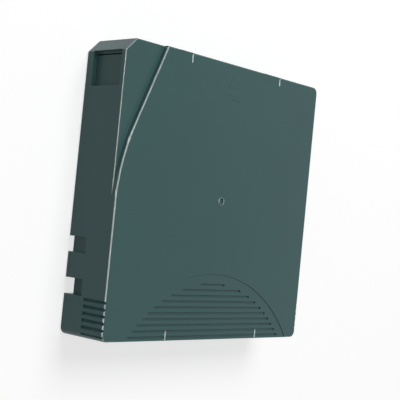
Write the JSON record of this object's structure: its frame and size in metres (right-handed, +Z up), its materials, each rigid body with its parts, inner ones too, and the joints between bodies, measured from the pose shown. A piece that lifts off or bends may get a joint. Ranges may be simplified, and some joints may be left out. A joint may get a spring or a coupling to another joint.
{
  "type": "data tape cartridge",
  "caption": "Closed single-reel data tape cartridge: flat moulded case with a wedge recess, ribbed thumb grip, sliding door, write-protect tab and a clear reel inside.",
  "frame": {"origin": "centre of the case's base, on the reel's axis", "axes": "+Z up through the upper shell, along the reel's axis; +Y towards the end that enters the drive; +X to the right, away from the door"},
  "size_m": [0.1054, 0.102, 0.0215],
  "materials": {
    "case_plastic": "fine matte texture",
    "clear_plastic": "clear gloss",
    "tape_film": "smooth black film edges",
    "plated_steel": "plated",
    "spring_steel": "bright wire",
    "brake_plastic": "satin",
    "pad_plastic": "satin",
    "door_plastic": "satin",
    "tab_plastic": "satin",
    "board_resin": "board lacquer",
    "chip_resin": "moulding resin"
  },
  "bodies": {
    "case": {"lower_shell": "case_plastic", "upper_shell": "case_plastic", "case_screws": "plated_steel", "leader_pin": "plated_steel", "leader_clip": "pad_plastic", "pin_spring": "spring_steel", "tape_leader": "tape_film", "memory_board": "board_resin", "memory_chip": "chip_resin", "brake_spring": "spring_steel", "door_spring": "spring_steel"},
    "reel": {"reel_hub": "clear_plastic", "reel_upper_flange": "clear_plastic", "tape_pack": "tape_film", "reel_plate": "plated_steel"},
    "brake": {"brake_button": "brake_plastic"},
    "pad": {"release_pad": "pad_plastic"},
    "door": {"access_door": "door_plastic"},
    "tab": {"write_protect_tab": "tab_plastic"}
  },
  "joints": [
    {"name": "reel_spin", "type": "hinge", "parent": "case", "child": "reel", "pos_m": [0, 0, 0], "axis": [0, 0, 1], "continuous": true},
    {"name": "brake_lift", "type": "slide", "parent": "case", "child": "brake", "axis": [0, 0, 1], "range_m": [0, 0.0016], "stiffness_N_per_m": 900, "springref_m": -0.007, "deforming": ["brake_spring"]},
    {"name": "pad_lift", "type": "slide", "parent": "reel", "child": "pad", "axis": [0, 0, 1], "range_m": [0, 0.0016]},
    {"name": "door_slide", "type": "slide", "parent": "case", "child": "door", "axis": [0, -1, 0], "range_m": [0, 0.0112], "stiffness_N_per_m": 40, "springref_m": -0.012, "deforming": ["door_spring"]},
    {"name": "write_protect_slide", "type": "slide", "parent": "case", "child": "tab", "axis": [1, 0, 0], "range_m": [0, 0.0044]}
  ],
  "couplings": [
    {"joint": "pad_lift", "follows": "brake_lift", "ratio": 1}
  ]
}
